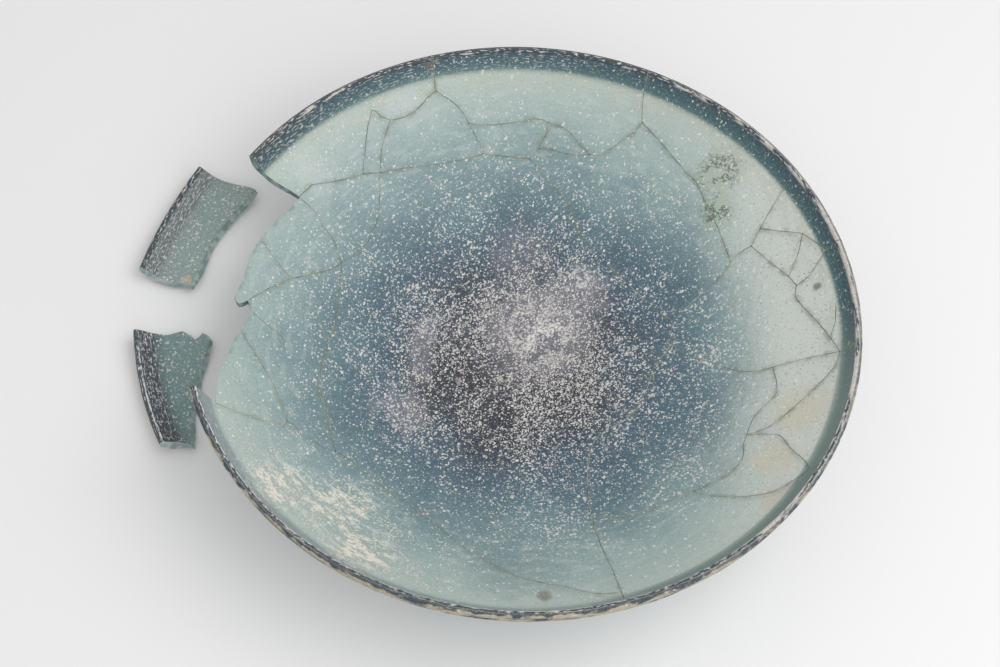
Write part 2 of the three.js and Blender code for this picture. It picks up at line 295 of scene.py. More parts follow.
def rest_of_sherd(node):
    """The matrix from the sherd's place in the whole bowl to where it lies."""
    if node not in loose_places:
        return Matrix.Translation(bowl_axis)
    place = Matrix.Translation(bowl_axis) @ lying_down(**loose_places[node])
    back = np.array(place.inverted())
    heights = corners_of(node) @ back[2, :3] + back[2, 3]
    lift = (heights.max() - bowl_height) / math.cos(loose_tilt)
    return Matrix.Translation((0, 0, lift)) @ place


for node in loose_places:
    print(node, "lies with its reference", round(rest_of_sherd(node).translation.z / MM, 2))

# %% [markdown]
# ## Cutting the outlines
#
# The outline of each sherd is read from its solid: it is the edge of everything that faces
# up. Straight facets don't look like broken glass, so the outline gets many small steps, and
# one field of small shifts moves them. Neighbours use the same field, so they still fit.

# %% Read the outline of a solid
least_upward = 0.05


def faces_up(face):
    return face.normal.z > least_upward


def upper_outline(node):
    """The longest loop of edges that bound what faces up, on the plan of the whole bowl."""
    shape = bmesh.new()
    shape.from_mesh(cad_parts[node].data)
    shape.transform(rest_of_sherd(node).inverted())
    bmesh.ops.remove_doubles(shape, verts=shape.verts, dist=0.001 * MM)
    shape.normal_update()
    after = {}
    for face in shape.faces:
        for loop in face.loops:
            others = [other for other in loop.edge.link_faces if other != face]
            if faces_up(face) and not any(faces_up(other) for other in others):
                after[loop.vert] = loop.link_loop_next.vert
    outlines = []
    while after:
        start = next(iter(after))
        outline, vert = [], start
        while vert in after:
            outline.append(vert.co.xy.copy())
            vert = after.pop(vert)
        outlines.append(outline)
    shape.free()
    longest = max(outlines, key=len)
    return np.array([point[:] for point in longest])


# %% Give an outline the small irregular steps of broken glass
# Without a seed, the vector noise differs from run to run.
noise.seed_set(11)
break_step = 0.8 * MM
closest_steps = 0.12 * MM
crest_margin = 0.35 * MM
# The shifts and the spacing of their waves, in mm.
slow_shift, slow_size = 0.16, 5
quick_shift, quick_size = 0.06, 1.6


def is_rim(point):
    return np.hypot(*point) > crest_radius - crest_margin


def break_shift(point):
    """One field of small shifts for the whole bowl, worked out in mm."""
    x, y = point / MM
    slow = noise.noise_vector(Vector((x / slow_size, y / slow_size, 0)))
    quick = noise.noise_vector(Vector((x / quick_size, y / quick_size, 7)))
    return np.array([slow_shift * slow.x + quick_shift * quick.x,
                     slow_shift * slow.y + quick_shift * quick.y]) * MM


def steps_between(start, end):
    """Small steps from start up to, but not with, end, as sheet radius and angle."""
    count = max(1, math.ceil(np.linalg.norm(end - start) / break_step))
    if is_rim(start) and is_rim(end):
        first, last = math.atan2(start[1], start[0]), math.atan2(end[1], end[0])
        turn = (last - first + math.pi) % (2 * math.pi) - math.pi
        return [(sheet_radius, first + turn * i / count) for i in range(count)]
    points = []
    for i in range(count):
        point = start + (end - start) * i / count
        if not is_rim(point):
            point = point + break_shift(point)
        radius = sheet_radius if is_rim(point) else sheet_from_plan(np.hypot(*point))
        points.append((float(radius), math.atan2(point[1], point[0])))
    return points


def on_sheet(polar):
    """Places on the flat sheet, from radii and angles."""
    polar = np.asarray(polar)
    return polar[:, :1] * np.column_stack((np.cos(polar[:, 1]), np.sin(polar[:, 1])))


def sheet_outline(node):
    """The outline of a sherd on the flat sheet, with steps that don't lie too close."""
    corners = upper_outline(node)
    polar = []
    for start, end in zip(corners, np.roll(corners, -1, axis=0)):
        polar.extend(steps_between(start, end))
    points = on_sheet(polar)
    kept = [points[0]]
    for point in points[1:]:
        if np.linalg.norm(point - kept[-1]) > closest_steps:
            kept.append(point)
    return np.array(kept)


outlines = {node: sheet_outline(node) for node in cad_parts}
print("outline steps:", sum(len(outline) for outline in outlines.values()))

# %% [markdown]
# ## Filling the outlines
#
# The sheet inside an outline is filled with triangles on rings about a millimetre apart.
# Where the section turns sharply, at the foot ring, the crease and the lip, the rings lie
# closer, so that the bent sherd is smooth there.


# %% Lay the rings of the sheet
first_ring, last_gap = 0.9 * MM, 0.3 * MM
wide_step, fine_step = 0.95 * MM, 0.45 * MM
# The foot ring, the crease and the lip, and how far round each the rings lie closer.
sharp_turns = [(foot_radius, 3.4 * MM), (collar_radius, 2.4 * MM), (sheet_radius, 2.8 * MM)]


def ring_radii():
    radii, radius = [], first_ring
    while radius < sheet_radius - last_gap:
        radii.append(radius)
        is_sharp = any(abs(radius - place) < reach for place, reach in sharp_turns)
        radius += fine_step if is_sharp else wide_step
    return radii


def sheet_points():
    points = [(0.0, 0.0)]
    for row, radius in enumerate(ring_radii()):
        count = max(6, round(2 * math.pi * radius / wide_step))
        angles = (np.arange(count) + row % 2 / 2) * 2 * math.pi / count
        points.extend(zip(radius * np.cos(angles), radius * np.sin(angles)))
    return np.array(points)


all_points = sheet_points()
print("points on the whole sheet:", len(all_points))


# %% Fill one outline with triangles
clear_of_edge = 0.38 * MM
least_area = 1e-12


def inside(points, outline):
    """Which points lie inside a closed outline, by counting crossings."""
    within = np.zeros(len(points), bool)
    for (x0, y0), (x1, y1) in zip(outline, np.roll(outline, -1, axis=0)):
        if y0 != y1:
            crosses = (points[:, 1] < y0) != (points[:, 1] < y1)
            within ^= crosses & (points[:, 0] < x0 + (points[:, 1] - y0) * (x1 - x0) / (y1 - y0))
    return within


def search_tree(points):
    """A tree that finds the nearest of these points."""
    tree = kdtree.KDTree(len(points))
    for i, (x, y) in enumerate(points):
        tree.insert((x, y, 0), i)
    tree.balance()
    return tree


def distances(points, others):
    """How far each point lies from the nearest of the others."""
    tree = search_tree(others)
    return np.array([tree.find((x, y, 0))[2] for x, y in points])


def filled(outline):
    """Corners and triangles of the flat sherd, facing up."""
    low, high = outline.min(0), outline.max(0)
    near = all_points[np.all((all_points > low) & (all_points < high), axis=1)]
    near = near[inside(near, outline)]
    near = near[distances(near, outline) > clear_of_edge]
    corners = [Vector(point) / MM for point in np.vstack((outline, near))]
    loop = list(range(len(outline)))
    made = geometry.delaunay_2d_cdt(corners, [], [loop], 1, 1e-5)
    flat = np.array([corner[:] for corner in made[0]]) * MM
    triangles = np.array(made[2])
    a, b, c = (flat[triangles[:, i]] for i in range(3))
    area = (b[:, 0] - a[:, 0]) * (c[:, 1] - a[:, 1]) - (b[:, 1] - a[:, 1]) * (c[:, 0] - a[:, 0])
    triangles[area < 0] = triangles[area < 0][:, ::-1]
    return flat, triangles[np.abs(area) > least_area]


# %% [markdown]
# ## The sherd as a closed sheet
#
# A sherd has an inner face and an outer face with the same triangles, the outer one turned
# over, and a strip between them where it broke. Along the lip both faces share their edge,
# because there the glass was fire-polished round. Three attributes tell Geometry Nodes where
# each corner goes: how far along its line, at which angle, and on which face. Two more, the
# distances from the axis and from the nearest break, are for the finish.


# %% Close a flat sherd
def open_edges(triangles):
    """The directed edges that have a triangle on one side only."""
    directed = {(a, b) for a, b, c in triangles}
    directed |= {(b, c) for a, b, c in triangles}
    directed |= {(c, a) for a, b, c in triangles}
    return sorted(edge for edge in directed if edge[::-1] not in directed)


def distance_to_break(flat, torn):
    """How far each corner of the flat sherd lies from where it broke."""
    broken = sorted({i for edge in torn for i in edge})
    return distances(flat, flat[broken])


def angles_of(points):
    """Angles about the axis, without a jump in sherds that lie on the left."""
    angles = np.arctan2(points[:, 1], points[:, 0])
    return angles % (2 * math.pi) if points[:, 0].max() < 0 else angles


def store(mesh, name, kind, domain, values):
    mesh.attributes.new(name, kind, domain).data.foreach_set("value", values)


def store_places(mesh, points, under):
    """Write down where each corner of a flat piece goes on the bowl."""
    radii = np.hypot(points[:, 0], points[:, 1])
    along = np.where(under, along_outer(radii), along_inner(radii))
    store(mesh, "along", "FLOAT", "POINT", along)
    store(mesh, "angle", "FLOAT", "POINT", angles_of(points))
    store(mesh, "under", "FLOAT", "POINT", under)
    store(mesh, "from_axis", "FLOAT", "POINT", radii)


def closed_sheet(name, flat, triangles):
    """Both faces of a flat sherd, the strip between them, and what each corner must know."""
    radii = np.hypot(flat[:, 0], flat[:, 1])
    on_crest = radii > sheet_radius - 0.02 * MM
    below = np.where(on_crest, np.arange(len(flat)), len(flat) + np.cumsum(~on_crest) - 1)
    under_points = flat[~on_crest]
    triangles = triangles.tolist()
    faces = [tuple(t) for t in triangles]
    faces += [tuple(int(below[i]) for i in reversed(t)) for t in triangles]
    whole = len(faces)
    torn = []
    for a, b in open_edges(triangles):
        strip = [b, a, int(below[a]), int(below[b])]
        strip = [v for i, v in enumerate(strip) if v not in strip[:i]]
        if len(strip) > 2:
            faces.append(tuple(strip))
            torn.append((a, b))
    points = np.vstack((flat, under_points))
    mesh = bpy.data.meshes.new(name)
    mesh.from_pydata([(x, y, 0) for x, y in points], [], faces)
    store_places(mesh, points, np.arange(len(points)) >= len(flat))
    to_break = distance_to_break(flat, torn)
    store(mesh, "to_break", "FLOAT", "POINT", np.append(to_break, to_break[~on_crest]))
    store(mesh, "broken", "BOOLEAN", "FACE", np.arange(len(faces)) >= whole)
    crisp = {frozenset(edge) for edge in torn}
    crisp |= {frozenset((int(below[a]), int(below[b]))) for a, b in torn}
    sharp = [frozenset(edge.vertices) in crisp for edge in mesh.edges]
    store(mesh, "sharp_edge", "BOOLEAN", "EDGE", sharp)
    return mesh


# %% [markdown]
# ## Bending the sheets with Geometry Nodes
#
# One node group puts any flat piece onto the section: it samples the inner or the outer line
# at each corner's place along it, and turns the result about the axis. Sherds, lines of glue
# and cracks all go through it. A slow noise lets the glass sag a little here and there, as
# blown glass does, but never under the foot, which stands flat. The noise stays below its
# peak, so the glass only sinks, and no sherd stands higher than its solid.


# %% Make a helper that adds a node and fills its sockets
def add(tree, kind, inputs=None, **settings):
    """A new node with its settings, and with each input linked to a socket or set."""
    made = tree.nodes.new(kind)
    for key, value in settings.items():
        setattr(made, key, value)
    for key, value in (inputs or {}).items():
        if isinstance(value, bpy.types.NodeSocket):
            tree.links.new(value, made.inputs[key])
        else:
            made.inputs[key].default_value = value
    return made


def calculate(tree, operation, *values):
    node = add(tree, "ShaderNodeMath", dict(enumerate(values)), operation=operation)
    return node.outputs[0]


def scaled(tree, value, factor, added):
    """A value times a factor, and something added."""
    return calculate(tree, "MULTIPLY_ADD", value, factor, added)


def vector_calculate(tree, operation, *values):
    node = add(tree, "ShaderNodeVectorMath", dict(enumerate(values)), operation=operation)
    return node.outputs["Value" if operation == "DISTANCE" else "Vector"]


def geometry_tree(name, **inputs):
    """A new tree with one geometry in and out, and named inputs of the given kinds."""
    tree = bpy.data.node_groups.new(name, "GeometryNodeTree")
    tree.is_modifier = True
    tree.interface.new_socket("Geometry", in_out="OUTPUT", socket_type="NodeSocketGeometry")
    tree.interface.new_socket("Geometry", in_out="INPUT", socket_type="NodeSocketGeometry")
    for label, kind in inputs.items():
        label = label.replace("_", " ").capitalize()
        tree.interface.new_socket(label, in_out="INPUT", socket_type="NodeSocket" + kind)
    return tree, tree.nodes.new("NodeGroupInput").outputs


def attribute(tree, name, kind="FLOAT"):
    node = add(tree, "GeometryNodeInputNamedAttribute", {"Name": name}, data_type=kind)
    return node.outputs["Attribute"]


def finished(tree, shape, material):
    """The nodes that end each tree for a piece: shade smooth, realize and set the material."""
    smooth = add(tree, "GeometryNodeSetShadeSmooth", {"Geometry": shape})
    real = add(tree, "GeometryNodeRealizeInstances", {"Geometry": smooth.outputs["Geometry"]})
    done = add(tree, "GeometryNodeSetMaterial",
               {"Geometry": real.outputs["Geometry"], "Material": material})
    return done.outputs["Geometry"]


def give_out(tree, result):
    tree.links.new(result, tree.nodes.new("NodeGroupOutput").inputs[0])


# %% Build the group that bends a flat piece onto the section
section_inputs = {"inner_line": "Object", "outer_line": "Object", "waves": "Float"}
waves_per_metre = 28.0
noise_peak = 0.8
bending, given = geometry_tree("put_on_the_section", **section_inputs)


def sampled(line):
    """The place on one of the section's lines for each corner."""
    shape = add(bending, "GeometryNodeObjectInfo", {"Object": given[line]})
    return add(
        bending, "GeometryNodeSampleCurve",
        {"Curves": shape.outputs["Geometry"], "Factor": attribute(bending, "along")},
        mode="FACTOR",
    ).outputs["Position"]


on_line = add(
    bending, "GeometryNodeSwitch",
    {"Switch": attribute(bending, "under", "BOOLEAN"),
     "False": sampled("Inner line"), "True": sampled("Outer line")},
    input_type="VECTOR",
)
turned = add(
    bending, "ShaderNodeVectorRotate",
    {"Vector": on_line.outputs["Output"], "Axis": (0, 0, 1), "Angle": attribute(bending, "angle")},
    rotation_type="AXIS_ANGLE",
)
slow_noise = add(
    bending, "ShaderNodeTexNoise",
    {"Vector": turned.outputs["Vector"], "Scale": waves_per_metre, "Detail": 2.0},
)
height = add(bending, "ShaderNodeSeparateXYZ", {"Vector": turned.outputs["Vector"]}).outputs["Z"]
off_the_foot = add(
    bending, "ShaderNodeMath", {0: height, 1: 1 / floor_height}, operation="MULTIPLY",
    use_clamp=True)
wave = calculate(
    bending, "MULTIPLY", calculate(bending, "SUBTRACT", slow_noise.outputs[0], noise_peak),
    calculate(bending, "MULTIPLY", given["Waves"], off_the_foot.outputs[0]))
upwards = add(bending, "ShaderNodeCombineXYZ", {"Z": wave})
bent = add(
    bending, "GeometryNodeSetPosition",
    {"Geometry": given["Geometry"],
     "Position": vector_calculate(
         bending, "ADD", turned.outputs["Vector"], upwards.outputs["Vector"])},
)
give_out(bending, bent.outputs["Geometry"])


# %% Build the tree that makes a glass sherd
def bent_by_group(tree, given, shape):
    """Send a flat shape through the bending group."""
    node = add(tree, "GeometryNodeGroup", node_tree=bending)
    tree.links.new(shape, node.inputs["Geometry"])
    for label in ("Inner line", "Outer line", "Waves"):
        tree.links.new(given[label], node.inputs[label])
    return node.outputs["Geometry"]


sherd_tree, given = geometry_tree(
    "glass_sherd", **section_inputs, glass="Material", broken_edge="Material")
bent_sherd = bent_by_group(sherd_tree, given, given["Geometry"])
with_edge = add(
    sherd_tree, "GeometryNodeSetMaterial",
    {"Geometry": finished(sherd_tree, bent_sherd, given["Glass"]),
     "Material": given["Broken edge"],
     "Selection": attribute(sherd_tree, "broken", "BOOLEAN")},
)
give_out(sherd_tree, with_edge.outputs["Geometry"])


# %% Make a helper that runs a tree once and keeps its plain mesh
def grown(name, mesh, tree, **values):
    """A new object with the mesh that the tree makes of the given one."""
    source = placed(name + "_source", mesh)
    modifier = source.modifiers.new("nodes", "NODES")
    modifier.node_group = tree
    sockets = {
        item.name: item.identifier for item in tree.interface.items_tree
        if item.in_out == "INPUT"
    }
    for label, value in values.items():
        modifier[sockets[label.replace("_", " ").capitalize()]] = value
    bpy.context.view_layer.update()
    evaluated = source.evaluated_get(bpy.context.evaluated_depsgraph_get())
    result = bpy.data.meshes.new_from_object(evaluated)
    result.name = name
    bpy.data.objects.remove(source)
    return placed(name, result)


# %% [markdown]
# ## Finishes
#
# Old glass isn't clear. Its surface has turned to a thin milky skin, so it looks like satin
# over a blue-green body: almost black-blue in the thick middle, with painted shade where it
# sits near the table, and pale at the wall, with painted light from the white table that
# shines through. On top come a purple-grey film, thousands of pale specks of crust, mottled
# dirt on the lip and a painted highlight along its front. All of it is painted with nodes
# that read the place on the bowl, so the pattern runs on across the breaks.


# %% Helpers for colours and masks
def paint(red, green, blue):
    """A colour as seen on a screen, from 0 to 255, turned into light."""
    shares = np.array([red, green, blue]) / 255
    light = np.where(shares <= 0.04045, shares / 12.92, ((shares + 0.055) / 1.055) ** 2.4)
    return (*(float(x) for x in light), 1.0)


def new_finish(name):
    material = bpy.data.materials.new(name)
    material.use_nodes = True
    tree = material.node_tree
    tree.nodes.clear()
    shader = add(tree, "ShaderNodeBsdfPrincipled")
    add(tree, "ShaderNodeOutputMaterial", {"Surface": shader.outputs[0]})
    return material, tree, shader


def add_grains(tree, shader, height, strength):
    """A bump a tenth of a millimetre deep."""
    bump = add(tree, "ShaderNodeBump",
               {"Strength": strength, "Distance": 0.1 * MM, "Height": height})
    tree.links.new(bump.outputs["Normal"], shader.inputs["Normal"])


def read(tree, name):
    """One of the attributes that the sheets carry."""
    return add(tree, "ShaderNodeAttribute", attribute_name=name).outputs["Fac"]


def soft_step(tree, value, start, end):
    """Goes softly from 0 at start to 1 at end, which may also lie below start."""
    node = add(
        tree, "ShaderNodeMapRange",
        {"Value": value, "From Min": start, "From Max": end},
        interpolation_type="SMOOTHSTEP",
    )
    return node.outputs["Result"]


def cloud(tree, place, size, detail):
    """A soft noise whose patches have about the given size."""
    node = add(tree, "ShaderNodeTexNoise", {"Vector": place, "Scale": 1 / size, "Detail": detail})
    return node.outputs[0]


def over(tree, share, below, above):
    """One colour laid over another."""
    node = add(tree, "ShaderNodeMix", {0: share, 6: below, 7: above}, data_type="RGBA")
    return node.outputs[2]


def product(tree, first, *others):
    for other in others:
        first = calculate(tree, "MULTIPLY", first, other)
    return first


def remaining(tree, share):
    return calculate(tree, "SUBTRACT", 1.0, share)


def strongest(tree, first, *others):
    for other in others:
        first = calculate(tree, "MAXIMUM", first, other)
    return first


def ramp(tree, value, stops):
    """A run of colours or shares, each from its own value onwards."""
    node = add(tree, "ShaderNodeValToRGB", {"Fac": value})
    elements = node.color_ramp.elements
    elements.remove(elements[-1])
    for i, (position, colour) in enumerate(stops):
        element = elements.new(position) if i else elements[0]
        element.position = position
        element.color = colour if hasattr(colour, "__len__") else (colour, colour, colour, 1)
    return node.outputs["Color"]


# %% What every finish on the bowl reads
def along_the_rim(tree, at, size, detail):
    """A noise whose patches are drawn out along the rim, as the glass was turned."""
    along = calculate(tree, "MULTIPLY", at["angle"], 0.25 * rim_radius)
    place = add(
        tree, "ShaderNodeCombineXYZ",
        {"X": along, "Y": at["from_axis"], "Z": calculate(tree, "MULTIPLY", at["under"], 0.03)})
    return cloud(tree, place.outputs[0], size, detail)


def readings(tree):
    """The place, the sheet's own measures, and the few noises that all the patches share."""
    place = add(tree, "ShaderNodeTexCoord").outputs["Object"]
    place = vector_calculate(tree, "SUBTRACT", place, tuple(bowl_axis))
    at = {name: read(tree, name) for name in ("from_axis", "angle", "to_break", "under")}
    at["place"] = place
    parts = add(tree, "ShaderNodeSeparateXYZ", {"Vector": place}).outputs
    at["across"], at["upward"] = parts["X"], parts["Y"]
    at["front"] = soft_step(tree, parts["Y"], 20 * MM, -40 * MM)
    at["back"] = remaining(tree, at["front"])
    at["flat"] = vector_calculate(tree, "MULTIPLY", place, (1, 1, 0))
    at["slow"] = cloud(tree, place, 24 * MM, 2.0)
    at["wobble"] = cloud(tree, place, 5 * MM, 2.0)
    at["grain"] = cloud(tree, place, 0.9 * MM, 1.0)
    at["dashes"] = along_the_rim(tree, at, 0.6 * MM, 1.0)
    at["streaks"] = along_the_rim(tree, at, 2.8 * MM, 2.0)
    return at


def spot(tree, at, radius, degrees, size, wobble=0.5):
    """A soft patch round a place given in mm from the axis and as an angle."""
    turn = math.radians(degrees)
    centre = (radius * MM * math.cos(turn), radius * MM * math.sin(turn), 0)
    distance = vector_calculate(tree, "DISTANCE", at["flat"], centre)
    shaken = scaled(tree, at["wobble"], 2 * wobble * size * MM, distance)
    middle = wobble * size * MM
    return soft_step(tree, shaken, middle + size * MM, middle + 0.35 * size * MM)


def ring(tree, at, start, end):
    """A soft step between two distances from the axis in mm, outwards or inwards."""
    return soft_step(tree, at["from_axis"], start * MM, end * MM)


def spots(tree, at, *places):
    """Soft patches, each given as mm from the axis, degrees, size in mm and maybe wobble."""
    return strongest(tree, *(spot(tree, at, *place) for place in places))


def lay(tree, colour, above, *shares):
    """Lay another colour over this one, as far as all the shares allow."""
    return over(tree, product(tree, *shares), colour, above)


def specks(tree, at, spacing, share, size):
    """Specks: the share of places that have one, and their size against the spacing."""
    shift = calculate(tree, "MULTIPLY", at["grain"], 1.4 * spacing)
    place = vector_calculate(tree, "ADD", at["place"], shift)
    cells = add(tree, "ShaderNodeTexVoronoi", {"Vector": place, "Scale": 1 / spacing})
    random = add(tree, "ShaderNodeSeparateColor", {"Color": cells.outputs["Color"]})
    chosen = calculate(tree, "LESS_THAN", random.outputs["Red"], share)
    few_large = product(tree, random.outputs["Green"], random.outputs["Green"])
    reach = scaled(tree, few_large, 1.3 * size, 0.35 * size)
    inner = calculate(tree, "MULTIPLY", reach, 0.6)
    speck = soft_step(tree, cells.outputs["Distance"], reach, inner)
    strength = scaled(tree, random.outputs["Blue"], 0.4, 0.6)
    return product(tree, chosen, speck, strength)


# %% [markdown]
# ## The body of the glass
#
# The colour of the glass follows its distance from the axis: thick and dark in the middle,
# where painted shade darkens it further, thin and pale at the wall, where painted light from
# the white table shines through, and dark again at the collar, where one looks along the glass.
# Each stop below is a share of the rim's radius and the colour between the specks. Lists of
# such stops are easier to adjust than many masks, so the zones come first and the
# patches that break their roundness are laid over them. The last three lists say in the same
# way how many places have a speck, and how clear the glass is.

# %% Name the colours of the glass from the middle outwards
# The dark stops in the middle are partly painted shade, where the bowl sits near the table, and the
# pale stops at the wall are partly painted light from the white table below.
bowl_zones = [
    (0.0, paint(62, 60, 70)), (0.2, paint(56, 59, 70)), (0.34, paint(58, 75, 88)),
    (0.45, paint(74, 98, 112)), (0.56, paint(96, 124, 132)), (0.68, paint(128, 154, 158)),
    (0.8, paint(162, 184, 182)), (0.94, paint(190, 204, 197)), (0.952, paint(168, 186, 176)),
    (0.96, paint(80, 114, 118)), (1.0, paint(66, 94, 104)),
]
loose_zones = [
    (0.8, paint(124, 150, 148)), (0.93, paint(114, 140, 140)), (0.955, paint(92, 114, 118)),
    (0.967, paint(64, 74, 84)), (1.0, paint(56, 64, 76)),
]
speck_shares = [(0.0, 0.95), (0.26, 0.9), (0.38, 0.6), (0.5, 0.42), (0.62, 0.34),
                (0.72, 0.2), (0.85, 0.07), (0.95, 0.07), (1.0, 0.12)]
bowl_clearness = [(0.4, 0.0), (0.65, 0.14), (0.85, 0.26), (0.955, 0.26), (0.965, 0.06)]
loose_clearness = [(0.0, 0.1), (0.94, 0.1), (0.965, 0.02)]


# %% Paint the patches that the bowl shows
def in_patches(tree, at, colour):
    """Deeper blue, worn and milky places and stains, painted shade on the front wall and painted
    light on the right wall, each at its own place on the bowl.
    """
    wall = ring(tree, at, 124.2, 122.8)
    deep = spots(tree, at, (66, 338, 30), (62, 298, 28), (60, 32, 22))
    colour = lay(tree, colour, paint(60, 88, 108), deep, 0.4)
    darkest = spots(tree, at, (32, 205, 20), (34, 262, 24), (30, 320, 22))
    colour = lay(tree, colour, paint(34, 38, 48), darkest, 0.55)
    # Painted shade: the front wall is darker, because it faces away from the light.
    painted_shade_front = spots(tree, at, (96, 270, 26))
    colour = lay(tree, colour, paint(104, 130, 136), painted_shade_front, 0.35)
    # Painted light: the right wall is paler, where the lamp on the right shines through the glass.
    painted_light_right = product(tree, soft_step(tree, at["across"], 56 * MM, 112 * MM), wall,
                    ring(tree, at, 74, 104))
    colour = lay(tree, colour, paint(220, 226, 218), painted_light_right, 0.92)
    pricks = soft_step(tree, at["grain"], 0.67, 0.72)
    colour = lay(tree, colour, paint(96, 108, 90), painted_light_right, pricks, 0.6)
    beige = spots(tree, at, (112, 343, 15), (110, 331, 12), (121, 322, 9))
    colour = lay(tree, colour, paint(214, 204, 178), beige, wall, 0.55)
    under_collar = product(tree, wall, at["back"], ring(tree, at, 114, 121),
                           soft_step(tree, at["streaks"], 0.4, 0.62))
    colour = lay(tree, colour, paint(184, 188, 162), under_collar, 0.4)
    turned = product(tree, wall, ring(tree, at, 74, 96),
                     soft_step(tree, at["streaks"], 0.5, 0.66))
    colour = lay(tree, colour, paint(214, 220, 212), turned, 0.25)
    milky = spots(tree, at, (117, 117, 10), (112, 142, 12))
    colour = lay(tree, colour, paint(206, 214, 212), milky, wall, 0.5)
    mould = spots(tree, at, (112, 45, 13), (101, 39, 10))
    blotch = product(tree, soft_step(tree, at["wobble"], 0.46, 0.53),
                     soft_step(tree, at["grain"], 0.38, 0.54))
    colour = lay(tree, colour, paint(166, 178, 146), mould, 0.4)
    colour = lay(tree, colour, paint(84, 104, 88), mould, blotch, 0.85)
    brown = spots(tree, at, (116.7, 276, 3.5), (128, 110, 3.5))
    colour = lay(tree, colour, paint(126, 110, 92), brown, 0.7)
    round_spot = spots(tree, at, (117.8, 10.7, 2.2, 0.1))
    return lay(tree, colour, paint(72, 84, 70), round_spot, 0.85)


def with_film(tree, at, colour):
    """The purple-grey film in the middle, with paler arcs over the foot ring."""
    patch = scaled(tree, at["slow"], 0.9, 0.25)
    middle = spots(tree, at, (17, 66, 32), (40, 52, 16))
    behind = product(tree, spots(tree, at, (50, 92, 18)), 0.7)
    arc = product(tree, ring(tree, at, 33, 38), ring(tree, at, 47, 41),
                  spots(tree, at, (42, 176, 26)))
    lower_arc = product(tree, spots(tree, at, (53, 210, 15, 1.2)), 0.9)
    film = strongest(tree, middle, behind, arc, lower_arc)
    return lay(tree, colour, paint(140, 137, 146), film, patch, 0.75)


def with_break_stains(tree, at, colour):
    """Dirt has crept in along the breaks, here and there."""
    beside = soft_step(tree, at["to_break"], 2.0 * MM, 0.2 * MM)
    here_and_there = soft_step(tree, at["wobble"], 0.48, 0.62)
    return lay(tree, colour, paint(126, 132, 106), beside, here_and_there, 0.4)


# %% [markdown]
# ## The painted specks
#
# Buried glass grows pale crumbs of crust. There are far too many to model each one, so two
# Voronoi patterns make them, a coarse one and a fine one. Each cell draws its own chance,
# size and strength, so most specks are tiny and a few are large. Where crust was rubbed along
# the turned glass, the crumbs run together into streaks.

# %% Scatter the specks of crust
coarse_specks, fine_specks = 1.25 * MM, 0.72 * MM


def with_specks(tree, at, zone, colour, more_crust):
    """Pale specks, dense in the middle, and a few places where they run together."""
    gather = scaled(tree, soft_step(tree, at["slow"], 0.3, 0.7), 0.9, 0.5)
    share = product(tree, ramp(tree, zone, speck_shares), gather)
    patches = spots(tree, at, (85, 321, 12), (83, 282, 10), (76, 0, 12), (54, 78, 18),
                    (54, 218, 14), (44, 150, 14))
    streaky = spots(tree, at, (115, 242, 18), (115, 222, 18), (104, 232, 20))
    share = scaled(tree, patches, 0.35, share)
    share = scaled(tree, streaky, 0.4, share)
    share = calculate(tree, "ADD", share, 0.2 * more_crust)
    share = product(tree, share, scaled(tree, at["under"], -0.7, 1.0))
    white = strongest(tree, specks(tree, at, coarse_specks, product(tree, share, 0.6), 0.4),
                      specks(tree, at, fine_specks, share, 0.55))
    dabs = product(tree, streaky, soft_step(tree, at["streaks"], 0.46, 0.54),
                   soft_step(tree, at["wobble"], 0.36, 0.5),
                   soft_step(tree, at["dashes"], 0.4, 0.48))
    middle = product(tree, spots(tree, at, (16, 60, 26), (44, 60, 12), (53, 219, 6)),
                     soft_step(tree, at["wobble"], 0.47, 0.58),
                     soft_step(tree, at["grain"], 0.4, 0.56), 0.85)
    white = strongest(tree, white, dabs, middle)
    crust = over(tree, at["grain"], paint(184, 180, 176), paint(252, 249, 243))
    crust = lay(tree, crust, paint(230, 219, 194), streaky, 0.55)
    return lay(tree, colour, crust, white, 0.95), white


# %% [markdown]
# ## The dirt on the lip
#
# The lip was handled, scraped and packed in soil. At the front its crest is nearly black with
# a thin broken white line, which is a painted highlight; on the right it is worn pale, and its
# outer face still has tan soil. The noise for it is stretched along the rim, so its patches
# become short dashes.

# %% Soil the collar and the lip
lip_start = sheet_radius - 2.4 * MM


